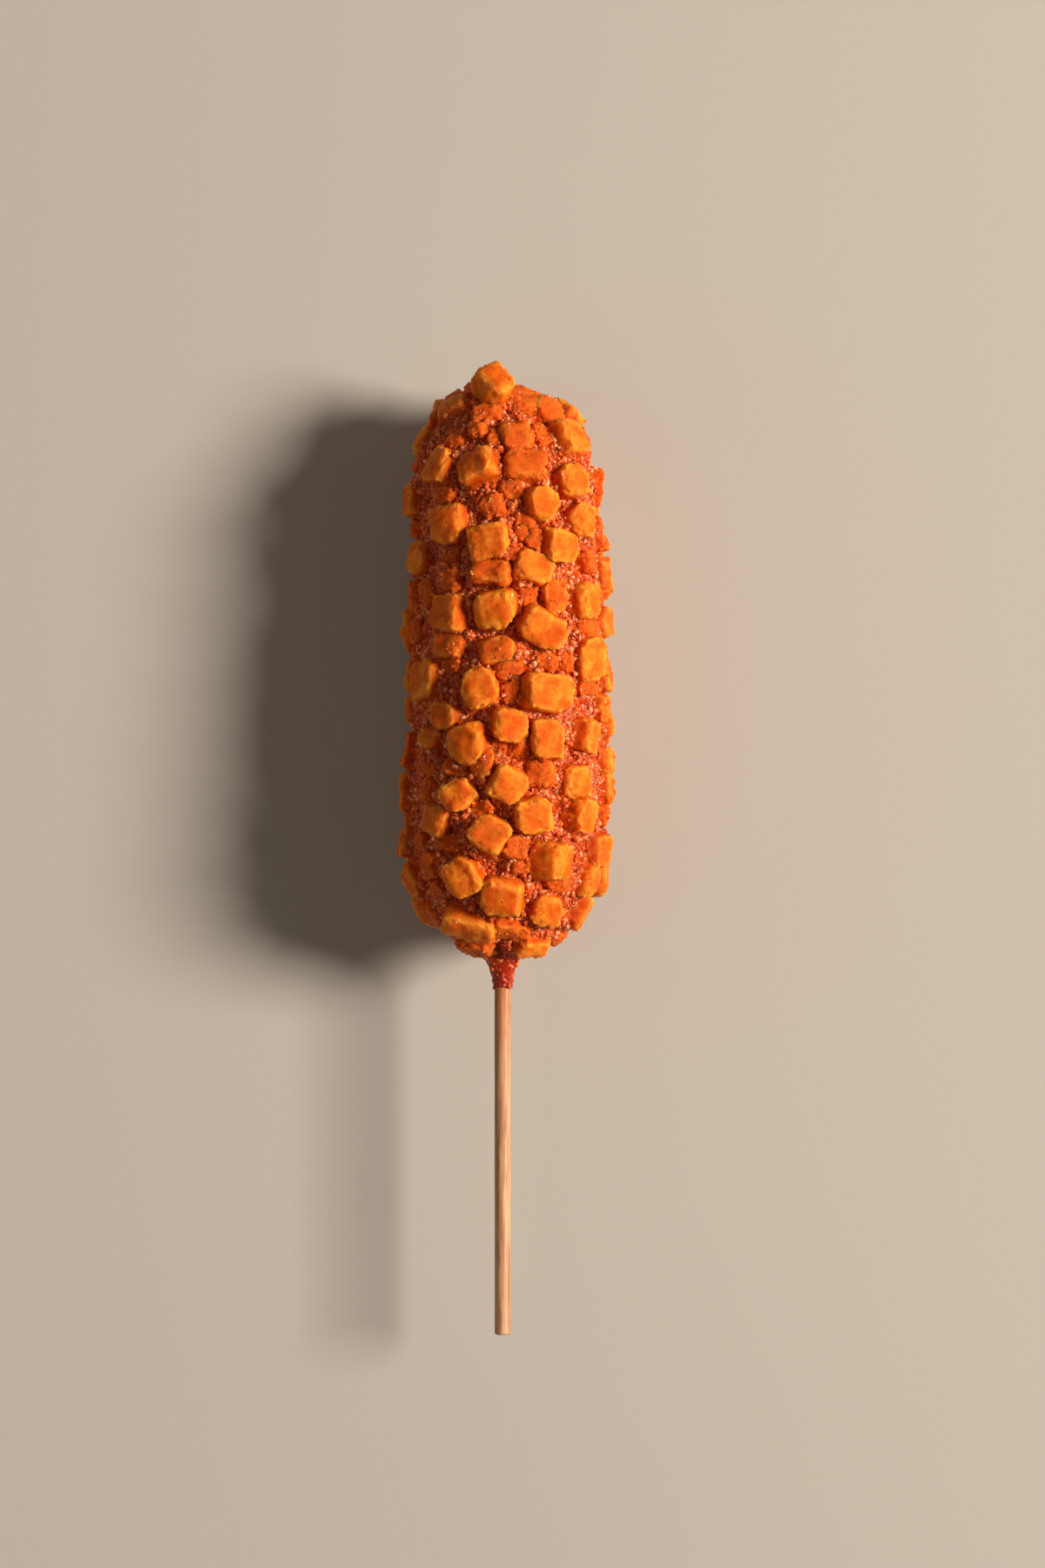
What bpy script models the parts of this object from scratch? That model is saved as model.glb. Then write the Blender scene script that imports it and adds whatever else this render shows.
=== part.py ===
"""A corn dog rolled in cubes of fried potato, on a wooden stick, lying on its side.

Metres, +Z up. The stick runs along Y, with its bare handle towards -Y and the food's tip
towards +Y. +Z is the side that shows and +X its right. The origin is the middle of the
bounding box's underside, and the food rests at Z = 0 on the flats of its lowest cubes.

The food is one solid: a lumpy fried crust with potato cubes half sunk in it, drawn down to
a thin collar round the stick. The stick is the second solid, and it runs on inside the food
in a bore of its own shape.
"""

import math
import random

import bmesh
import bpy
from mathutils import Matrix, Vector, noise

MM = 0.001

# The stick. Lengths along it are counted from its handle end.
STICK_DIAMETER = 4.2 * MM
STICK_LENGTH = 210 * MM
STICK_CHAMFER = 0.35 * MM
STICK_SIDES = 24
HANDLE_LENGTH = 90.5 * MM
STICK_GAP = 0.3 * MM

# The crust without its cubes. Lengths along it are counted from the collar's lower end.
CRUST_LENGTH = 156 * MM
COLLAR_LENGTH = 10 * MM
COLLAR_WALL = 0.9 * MM
COLLAR_FLARE = 3.8 * MM
SHOULDER_LENGTH = 30 * MM
DOME_LENGTH = 28 * MM
BASE_RADIUS = 23.5 * MM
TIP_RADIUS = 21.0 * MM
LUMP_HEIGHT = 0.8 * MM
LUMP_WIDTH = 9 * MM
CRUST_RINGS = 28
CRUST_SIDES = 28

# The crust's middle strays from the stick: to the right along the upper half, and down
# towards the tip, so that its lower side is level.
SIDE_BOW = 1.6 * MM
TIP_DROOP = 3.4 * MM
REST_DEPTH = 27.3 * MM

# The potato: chips of one cut, chopped into cubes, with some broken bits. A piece's rise is
# how far its outer face stands out of the crust.
CHIP_WIDTH = 9.0 * MM
WIDTH_SPREAD = 0.07
CUT_LENGTHS = (7.6 * MM, 10.8 * MM)
CUBE_RISES = (4.5 * MM, 5.6 * MM)
BIT_WIDTHS = (4.4 * MM, 6.6 * MM)
BIT_RISES = (2.2 * MM, 3.2 * MM)
CORNER_WANDER = 0.5 * MM
EDGE_ROUND = 0.8 * MM
LEAN = math.radians(8)
MOST_LEAN = math.radians(18)
UNDERSIDE_PRESS = 1.0 * MM

# The pieces on the side that shows, set by hand: how far each is along the crust and across
# from the stick, its width, length and rise, all in mm, then its turn about the outward
# direction and, where it leans on an edge, how far over it stands, both in degrees.
SHOWN_POTATO = (
    (151.8, -2.8, 9.8, 7.8, 9.3, -46, 16),
    (155.0, -7.6, 7.5, 6.0, 3.4, 10),
    (150.3, -12.6, 9.4, 8.6, 3.8, 35),
    (151.3, 6.0, 9.0, 8.0, 3.0, 30),
    (149.4, 12.0, 8.4, 8.0, 3.4, -38),
    (148.0, -4.6, 7.5, 4.6, 2.8, 15),
    (143.6, -6.4, 5.0, 4.2, 2.8, 10),
    (141.3, -1.9, 4.0, 5.0, 2.6, -15),
    (142.0, 3.6, 8.5, 8.0, 3.4, 8),
    (141.0, 17.7, 8.6, 8.8, 5.4, 4),
    (141.2, -20.4, 8.4, 8.0, 4.8, 5),
    (134.4, -16.1, 7.8, 8.6, 4.6, -12),
    (133.7, -6.4, 10.0, 8.2, 5.0, 22),
    (134.7, 6.6, 10.6, 8.5, 3.4, -8),
    (130.8, 18.4, 8.6, 8.4, 5.4, 5),
    (127.4, -22.7, 7.8, 8.4, 4.8, 10),
    (124.5, -2.7, 6.2, 6.4, 3.2, 25),
    (125.4, 9.8, 8.6, 8.4, 5.0, -35),
    (119.8, -14.0, 9.6, 9.8, 5.2, 15),
    (121.0, 20.6, 8.8, 8.6, 4.8, -10),
    (115.3, -4.0, 10.2, 8.6, 5.4, 10),
    (117.4, 4.6, 3.8, 4.0, 2.2, 20),
    (116.0, 8.6, 4.6, 4.8, 2.6, -20),
    (114.4, 15.0, 9.4, 8.4, 5.2, -4),
    (111.4, -21.4, 9.2, 8.4, 4.6, 0),
    (107.0, -3.0, 10.0, 6.8, 3.6, -4),
    (108.0, 8.4, 9.8, 8.2, 4.6, -10),
    (105.9, -13.8, 6.6, 5.8, 3.0, 0),
    (102.6, -18.8, 4.8, 6.8, 3.2, 20),
    (102.3, -24.0, 6.0, 7.0, 3.6, 0),
    (96.6, -13.8, 9.8, 9.2, 5.0, -3),
    (97.8, -2.0, 10.2, 8.8, 5.2, 4),
    (100.8, 13.6, 6.4, 8.6, 3.6, 0),
    (100.4, 21.6, 8.6, 9.0, 5.2, 0),
    (93.2, 11.2, 11.4, 8.6, 5.6, -28),
    (92.6, -22.0, 6.6, 6.4, 3.4, 10),
    (88.4, -14.0, 8.6, 6.8, 3.8, -6),
    (87.2, -1.2, 9.0, 6.2, 3.6, 8),
    (82.8, 2.2, 7.0, 4.6, 2.6, 15),
    (84.6, 11.5, 5.6, 4.8, 2.6, -20),
    (85.6, 22.6, 9.6, 11.0, 5.0, 8),
    (79.4, -19.6, 11.0, 10.0, 4.8, 12),
    (77.4, -7.0, 9.0, 9.6, 5.4, 28),
    (76.4, 12.2, 13.0, 9.0, 5.6, -8),
    (70.6, -15.0, 8.8, 6.8, 4.0, -5),
    (68.3, 1.6, 9.4, 8.8, 5.0, -6),
    (73.0, 25.4, 7.6, 6.8, 4.4, 0),
    (65.8, 21.8, 8.0, 8.8, 5.0, -12),
    (64.4, -18.4, 6.8, 6.6, 4.0, -20),
    (63.5, -9.4, 9.4, 9.8, 5.2, 12),
    (64.4, 12.2, 8.4, 10.2, 5.4, -2),
    (58.2, -4.8, 5.8, 7.2, 3.4, -15),
    (57.8, -19.2, 6.4, 4.6, 2.4, -15),
    (56.6, -11.8, 6.8, 3.6, 2.0, -8),
    (53.2, 1.0, 9.0, 8.6, 5.2, -28),
    (59.6, 26.6, 7.4, 6.8, 4.6, 0),
    (53.8, 19.2, 9.4, 8.4, 4.4, 5),
    (51.4, 27.0, 7.4, 7.6, 4.8, 0),
    (51.2, -24.8, 7.6, 9.4, 4.6, 3),
    (50.2, -11.8, 8.8, 8.2, 5.2, 42),
    (45.0, 8.6, 9.6, 9.4, 5.4, 10),
    (45.0, 20.6, 8.8, 8.8, 5.0, -10),
    (43.2, -17.6, 8.0, 8.0, 4.2, -10),
    (46.8, -6.2, 8.0, 4.2, 2.2, 15),
    (40.2, -4.0, 9.6, 8.6, 5.2, -32),
    (37.6, -25.0, 7.6, 8.0, 4.4, 5),
    (37.3, 3.5, 5.4, 5.8, 3.2, -25),
    (33.8, 13.6, 9.4, 9.4, 5.8, -4, 38),
    (36.4, 25.0, 8.0, 8.4, 4.8, 0),
    (29.8, -10.6, 9.2, 10.2, 5.4, 24),
    (32.8, -18.6, 5.0, 6.4, 3.2, 5),
    (28.8, -23.2, 8.2, 8.6, 4.6, 20),
    (32.6, 5.2, 4.6, 4.6, 2.2, 0),
    (25.4, 0.0, 10.6, 9.0, 5.4, -8),
    (29.0, 22.0, 8.4, 7.6, 4.6, 10),
    (22.0, 12.6, 8.6, 8.2, 5.0, -8),
    (21.1, 20.2, 8.0, 9.0, 4.6, -10),
    (18.6, -9.4, 13.6, 7.8, 5.0, -28),
    (20.4, -18.4, 7.6, 7.0, 3.0, -30),
    (13.0, 8.4, 9.6, 6.4, 4.6, 4),
    (12.6, -8.4, 9.4, 6.8, 3.2, -38),
    (143.0, 23.2, 5.0, 7.0, 3.4, 0),
    (136.0, -22.4, 5.0, 4.5, 2.8, 0),
    (130.5, 24.8, 4.4, 9.0, 3.4, 0),
    (119.5, -22.6, 5.5, 5.0, 2.8, 10),
    (118.0, 26.4, 4.4, 9.0, 3.6, 0),
    (108.6, 25.4, 6.5, 6.2, 3.8, 0),
    (93.2, 22.0, 7.0, 4.6, 3.2, -5),
    (86.6, -22.6, 5.0, 5.0, 2.8, 0),
    (78.6, 22.0, 7.5, 5.0, 3.2, 0),
    (72.6, -25.4, 4.6, 7.0, 3.6, 0),
    (61.6, -26.2, 5.0, 9.0, 4.2, 0),
    (56.0, 10.6, 7.0, 6.4, 3.0, 0),
    (45.6, 26.2, 5.4, 5.6, 3.6, 0),
    (45.2, -24.8, 5.0, 4.0, 2.8, 0),
    (28.0, 14.6, 6.5, 4.0, 2.6, 0),
    (16.8, 2.4, 9.0, 6.0, 2.8, -8),
    (15.0, 15.6, 8.0, 4.6, 3.2, 20),
    (152.4, -2.4, 7.0, 6.8, 4.8, 0),
)

# The pieces on the sides and underside, put wherever it is barest.
UNSEEN_CUBES = 60
UNSEEN_BITS = 30
UNSEEN_FROM = math.radians(84)
CUBE_REACH = (16 * MM, 148 * MM)
BIT_REACH = (14 * MM, 153 * MM)
TRIES_PER_PIECE = 90
LAYOUT_SEED = 44


def clear_scene():
    for obj in list(bpy.data.objects):
        bpy.data.objects.remove(obj, do_unlink=True)


def material(name, colour, roughness):
    made = bpy.data.materials.new(name)
    made.use_nodes = True
    shader = made.node_tree.nodes["Principled BSDF"]
    shader.inputs["Base Color"].default_value = (*colour, 1)
    shader.inputs["Roughness"].default_value = roughness
    return made


def object_from(bm, name):
    mesh = bpy.data.meshes.new(name)
    bm.to_mesh(mesh)
    bm.free()
    obj = bpy.data.objects.new(name, mesh)
    bpy.context.scene.collection.objects.link(obj)
    return obj


def ellipse_rise(share):
    """A quarter ellipse: 0 at share 0, 1 from share 1 on."""
    share = min(max(share, 0.0), 1.0)
    return math.sqrt(1 - (1 - share) ** 2)


def crust_radius(along):
    """The bare crust's radius: collar, wide base, slow taper and domed tip."""
    taper = min(max(along / CRUST_LENGTH, 0.0), 1.0) ** 1.5
    body = BASE_RADIUS + (TIP_RADIUS - BASE_RADIUS) * taper
    body *= ellipse_rise((along - COLLAR_LENGTH) / SHOULDER_LENGTH)
    body *= ellipse_rise((CRUST_LENGTH - along) / DOME_LENGTH)
    if along < COLLAR_LENGTH + SHOULDER_LENGTH / 2:
        flare = COLLAR_FLARE * min(along / COLLAR_LENGTH, 1.0) ** 2
        body = max(body, STICK_DIAMETER / 2 + COLLAR_WALL + flare)
    return body


def crust_middle(along):
    """The centre of the crust's cross-section, with the stick's axis at X = Z = 0."""
    share = min(max(along / CRUST_LENGTH, 0.0), 1.0)
    side = SIDE_BOW * math.sin(math.pi * share**1.5)
    return Vector((side, HANDLE_LENGTH + along, -TIP_DROOP * share**2))


def crust_point(along, around):
    """A point of the smooth crust. around is 0 at the top (+Z) and grows towards +X."""
    outward = Vector((math.sin(around), 0, math.cos(around)))
    return crust_middle(along) + crust_radius(along) * outward


def crust_normal(along, around):
    """The crust's outward direction there, from two short steps over its surface."""
    step, turn = 0.5 * MM, math.radians(0.5)
    ahead = crust_point(along + step, around) - crust_point(along - step, around)
    aside = crust_point(along, around + turn) - crust_point(along, around - turn)
    return aside.cross(ahead).normalized()


def lump(point):
    """How far the crust swells or sinks at a point, in its own lumps."""
    return LUMP_HEIGHT * noise.noise(point / LUMP_WIDTH)


def outward_frame(normal):
    """Axes for a piece: Z out of the crust, Y along it towards the tip, X to the right."""
    ahead = (Vector((0, 1, 0)) - normal * normal.y).normalized()
    return Matrix((ahead.cross(normal), ahead, normal)).transposed()


class Potato:
    """A piece of potato, nearly a box: its three widths, where it sits and how it is turned."""

    def __init__(self, rng, place, widths, rise, turn, stand=0.0):
        self.seat = crust_point(*place)
        self.reach = max(widths[0], widths[1]) / 2
        normal = crust_normal(*place)
        leans = [min(max(rng.gauss(0, LEAN), -MOST_LEAN), MOST_LEAN) for _ in range(2)]
        facing = outward_frame(normal)
        facing @= Matrix.Rotation(turn, 3, "Z")
        facing @= Matrix.Rotation(leans[0], 3, "X")
        facing @= Matrix.Rotation(leans[1] + stand, 3, "Y")
        pressed = UNDERSIDE_PRESS * max(0.0, -normal.z)
        centre = self.seat + normal * (rise - widths[2] / 2 - pressed)
        self.corners = []
        for corner in range(8):
            sides = [1 if corner >> axis & 1 else -1 for axis in range(3)]
            wander = Vector([rng.uniform(-1, 1) * CORNER_WANDER for _ in range(3)])
            shape = Vector([side * width / 2 for side, width in zip(sides, widths)])
            self.corners.append(centre + facing @ (shape + wander))


def shown_potato(rng, along, across, width, length, rise, turn, stand=0.0):
    """One row of SHOWN_POTATO, set where it shows that far across when seen from above."""
    along, across, width, length, rise = (
        number * MM for number in (along, across, width, length, rise)
    )
    across -= crust_middle(along).x
    radius = crust_radius(along)
    # On top its outer face shows, and far round the side half of what shows is its flank.
    height = rise * (1 - 0.5 * min(abs(across) / radius, 1.0))
    around = math.asin(min(max(across / (radius + height), -1.0), 1.0))
    widths = (width, length, min(width, length, CHIP_WIDTH))
    return Potato(rng, (along, around), widths, rise, math.radians(turn), math.radians(stand))


def unseen_potato(rng, placed, widths, rises, stretch):
    """A piece on the sides or underside: of several random places there, the barest."""
    best, most_room = None, -math.inf
    for _ in range(TRIES_PER_PIECE):
        place = rng.uniform(*stretch), rng.uniform(UNSEEN_FROM, 2 * math.pi - UNSEEN_FROM)
        seat = crust_point(*place)
        room = min((seat - other.seat).length - other.reach for other in placed)
        if room > most_room:
            best, most_room = place, room
    return Potato(rng, best, widths, rng.uniform(*rises), rng.uniform(0, math.pi))


def cube_widths(rng):
    """A chip's two sides and its cut length."""
    chip = [CHIP_WIDTH * (1 + rng.uniform(-1, 1) * WIDTH_SPREAD) for _ in range(2)]
    return (chip[0], rng.uniform(*CUT_LENGTHS), chip[1])


def bit_widths(rng):
    return tuple(rng.uniform(*BIT_WIDTHS) for _ in range(3))


def potato_layout():
    """Every piece of potato: those set by hand, then the unseen cubes and bits."""
    rng = random.Random(LAYOUT_SEED)
    placed = [shown_potato(rng, *row) for row in SHOWN_POTATO]
    for _ in range(UNSEEN_CUBES):
        widths = cube_widths(rng)
        placed.append(unseen_potato(rng, placed, widths, CUBE_RISES, CUBE_REACH))
    for _ in range(UNSEEN_BITS):
        widths = bit_widths(rng)
        placed.append(unseen_potato(rng, placed, widths, BIT_RISES, BIT_REACH))
    return placed


def bare_crust():
    """The crust without potato: its profile spun about the stick's axis, then bowed and lumped."""
    bm = bmesh.new()
    steps = [step / CRUST_RINGS for step in range(CRUST_RINGS + 1)]
    # Rings crowd towards both ends, where the profile turns fastest.
    alongs = [CRUST_LENGTH * (1 - math.cos(math.pi * step)) / 2 for step in steps]
    profile = [bm.verts.new((0, 0, 0))]
    profile += [bm.verts.new((0, along, crust_radius(along))) for along in alongs]
    edges = [bm.edges.new(pair) for pair in zip(profile, profile[1:])]
    bmesh.ops.spin(
        bm, geom=profile + edges, cent=(0, 0, 0), axis=(0, 1, 0),
        angle=2 * math.pi, steps=CRUST_SIDES, use_merge=True,
    )
    bmesh.ops.remove_doubles(bm, verts=bm.verts, dist=0.01 * MM)
    for vert in bm.verts:
        along = vert.co.y
        outward = Vector((vert.co.x, 0, vert.co.z))
        middle = crust_middle(along)
        if outward.length > STICK_DIAMETER and along > COLLAR_LENGTH:
            outward += outward.normalized() * lump(middle + outward)
        vert.co = middle + outward
    bmesh.ops.recalc_face_normals(bm, faces=bm.faces)
    return object_from(bm, "crust")


def potato_solid(potato, name):
    """One piece as a closed solid, its outer edges bevelled."""
    bm = bmesh.new()
    bmesh.ops.create_cube(bm, size=2)
    outer_edges = [edge for edge in bm.edges if all(vert.co.z > 0 for vert in edge.verts)]
    for vert in bm.verts:
        corner = sum(1 << axis for axis in range(3) if vert.co[axis] > 0)
        vert.co = potato.corners[corner]
    bm.normal_update()
    bmesh.ops.bevel(
        bm, geom=outer_edges, offset=EDGE_ROUND, offset_type="OFFSET",
        segments=1, profile=0.5, affect="EDGES", material=-1,
    )
    bmesh.ops.recalc_face_normals(bm, faces=bm.faces)
    return object_from(bm, name)


def boolean(obj, operation, solver="EXACT", other=None, collection=None):
    """Cuts obj by another object, or joins a collection to it, and keeps the result as its mesh."""
    modifier = obj.modifiers.new(operation.lower(), "BOOLEAN")
    modifier.operation = operation
    modifier.solver = solver
    if collection:
        modifier.operand_type = "COLLECTION"
        modifier.collection = collection
    else:
        modifier.object = other
    bpy.context.view_layer.update()
    evaluated = obj.evaluated_get(bpy.context.evaluated_depsgraph_get())
    mesh = bpy.data.meshes.new_from_object(evaluated)
    obj.modifiers.clear()
    obj.data = mesh


def keep_outer_shell(obj):
    """Fills hollows that the union sealed and drops scraps: only the shell with most faces stays."""
    bm = bmesh.new()
    bm.from_mesh(obj.data)
    unseen = set(bm.faces)
    shells = []
    while unseen:
        shell, front = set(), [unseen.pop()]
        while front:
            face = front.pop()
            shell.add(face)
            near = {other for edge in face.edges for other in edge.link_faces} & unseen
            unseen -= near
            front.extend(near)
        shells.append(shell)
    outer = max(shells, key=len)
    scraps = [face for shell in shells if shell is not outer for face in shell]
    bmesh.ops.delete(bm, geom=scraps, context="FACES")
    bm.to_mesh(obj.data)
    bm.free()


def coated_food(layout):
    """The crust and its potato as one solid, bored for the stick and flat where it rests."""
    food = bare_crust()
    food.name = "coated_food"
    pieces = bpy.data.collections.new("potato")
    bpy.context.scene.collection.children.link(pieces)
    for number, potato in enumerate(layout):
        piece = potato_solid(potato, f"potato_{number}")
        bpy.context.scene.collection.objects.unlink(piece)
        pieces.objects.link(piece)
    boolean(food, "UNION", "MANIFOLD", collection=pieces)
    for piece in list(pieces.objects):
        bpy.data.objects.remove(piece, do_unlink=True)
    bpy.data.collections.remove(pieces)
    keep_outer_shell(food)

    bore = stick_solid("bore", STICK_DIAMETER / 2 + STICK_GAP, -STICK_GAP, STICK_LENGTH + STICK_GAP)
    boolean(food, "DIFFERENCE", "MANIFOLD", other=bore)
    bpy.data.objects.remove(bore, do_unlink=True)
    table = table_block()
    boolean(food, "DIFFERENCE", "MANIFOLD", other=table)
    bpy.data.objects.remove(table, do_unlink=True)
    keep_outer_shell(food)
    return food


def stick_solid(name, radius, start, end):
    """A round rod along Y, from start to end."""
    bm = bmesh.new()
    bmesh.ops.create_cone(
        bm, cap_ends=True, segments=STICK_SIDES, radius1=radius, radius2=radius, depth=end - start,
    )
    lay_along_y = Matrix.Translation((0, (start + end) / 2, 0)) @ Matrix.Rotation(math.pi / 2, 4, "X")
    bmesh.ops.transform(bm, matrix=lay_along_y, verts=bm.verts)
    return object_from(bm, name)


def table_block():
    """A block whose top is where the food rests."""
    bm = bmesh.new()
    bmesh.ops.create_cube(bm, size=1)
    size, depth = 400 * MM, 20 * MM
    bmesh.ops.scale(bm, vec=(size, size, depth), verts=bm.verts)
    centre = (0, STICK_LENGTH / 2, -REST_DEPTH - depth / 2)
    bmesh.ops.translate(bm, vec=centre, verts=bm.verts)
    return object_from(bm, "table")


def stick():
    """The stick, with a slight chamfer round both ends."""
    obj = stick_solid("stick", STICK_DIAMETER / 2, 0, STICK_LENGTH)
    bm = bmesh.new()
    bm.from_mesh(obj.data)
    rims = [edge for edge in bm.edges if abs(edge.verts[0].co.y - edge.verts[1].co.y) < 0.1 * MM]
    bmesh.ops.bevel(
        bm, geom=rims, offset=STICK_CHAMFER, offset_type="OFFSET",
        segments=1, profile=0.5, affect="EDGES", material=-1,
    )
    bm.to_mesh(obj.data)
    bm.free()
    obj.data.shade_smooth()
    obj.data.set_sharp_from_angle(angle=math.radians(30))
    return obj


def stand_on_origin(objects):
    """Moves the objects together until the middle of their box's underside is the origin."""
    corners = [vert.co for obj in objects for vert in obj.data.vertices]
    lowest = Vector([min(corner[axis] for corner in corners) for axis in range(3)])
    highest = Vector([max(corner[axis] for corner in corners) for axis in range(3)])
    middle = (lowest + highest) / 2
    shift = Matrix.Translation((-middle.x, -middle.y, -lowest.z))
    for obj in objects:
        obj.data.transform(shift)


def main():
    clear_scene()
    food = coated_food(potato_layout())
    rod = stick()
    food.data.materials.clear()
    food.data.materials.append(material("fried potato", (0.80, 0.26, 0.03), 0.6))
    rod.data.materials.append(material("birch", (0.75, 0.51, 0.27), 0.65))
    stand_on_origin([food, rod])


main()
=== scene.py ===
"""A corn dog rolled in cubes of fried potato, on a birch stick, lying on a pale table.

Metres, +Z up. Every piece is made in the stick's own frame, where the stick runs along Y
from its handle end at the origin, and is then moved to where the stick lies. The potato is
laid out by the same values and the same rule as the solid that these pieces stand for.
"""

import math
import random

import bmesh
import bpy
import numpy as np
from mathutils import Matrix, Vector, noise

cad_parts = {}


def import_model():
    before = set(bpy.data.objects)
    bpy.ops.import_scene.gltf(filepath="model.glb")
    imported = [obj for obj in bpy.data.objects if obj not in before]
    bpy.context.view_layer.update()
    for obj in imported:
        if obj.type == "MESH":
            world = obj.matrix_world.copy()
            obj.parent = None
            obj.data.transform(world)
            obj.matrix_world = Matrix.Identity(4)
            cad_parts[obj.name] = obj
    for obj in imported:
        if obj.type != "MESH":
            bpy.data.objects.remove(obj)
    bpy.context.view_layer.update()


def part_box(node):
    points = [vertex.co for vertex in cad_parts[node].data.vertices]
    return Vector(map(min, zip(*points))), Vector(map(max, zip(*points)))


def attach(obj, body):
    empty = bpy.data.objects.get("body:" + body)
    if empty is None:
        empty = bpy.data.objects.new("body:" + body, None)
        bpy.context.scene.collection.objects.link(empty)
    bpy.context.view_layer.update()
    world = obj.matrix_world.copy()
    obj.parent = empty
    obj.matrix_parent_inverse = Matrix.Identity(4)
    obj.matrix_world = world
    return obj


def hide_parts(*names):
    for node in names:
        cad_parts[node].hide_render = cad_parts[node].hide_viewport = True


MM = 0.001

# The stick. Lengths along it are counted from its handle end.
STICK_DIAMETER = 4.2 * MM
STICK_LENGTH = 210 * MM
STICK_CHAMFER = 0.35 * MM
HANDLE_LENGTH = 90.5 * MM
NICK_ALONG = 81.4 * MM
NICK_WIDTH = 0.7 * MM
NICK_DEPTH = 0.35 * MM

# The crust without its potato. Lengths along it are counted from the collar's lower end.
CRUST_LENGTH = 156 * MM
COLLAR_LENGTH = 10 * MM
COLLAR_WALL = 0.9 * MM
COLLAR_FLARE = 3.8 * MM
SHOULDER_LENGTH = 30 * MM
DOME_LENGTH = 28 * MM
BASE_RADIUS = 23.5 * MM
TIP_RADIUS = 21.0 * MM
LUMP_HEIGHT = 0.8 * MM
LUMP_WIDTH = 9 * MM
SIDE_BOW = 1.6 * MM
TIP_DROOP = 3.4 * MM
REST_DEPTH = 27.3 * MM

# The potato: chips of one cut, chopped into cubes, with some broken bits.
CHIP_WIDTH = 9.0 * MM
WIDTH_SPREAD = 0.07
CUT_LENGTHS = (7.6 * MM, 10.8 * MM)
CUBE_RISES = (4.5 * MM, 5.6 * MM)
BIT_WIDTHS = (4.4 * MM, 6.6 * MM)
BIT_RISES = (2.2 * MM, 3.2 * MM)
CORNER_WANDER = 0.5 * MM
LEAN = math.radians(8)
MOST_LEAN = math.radians(18)
UNDERSIDE_PRESS = 1.0 * MM

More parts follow.
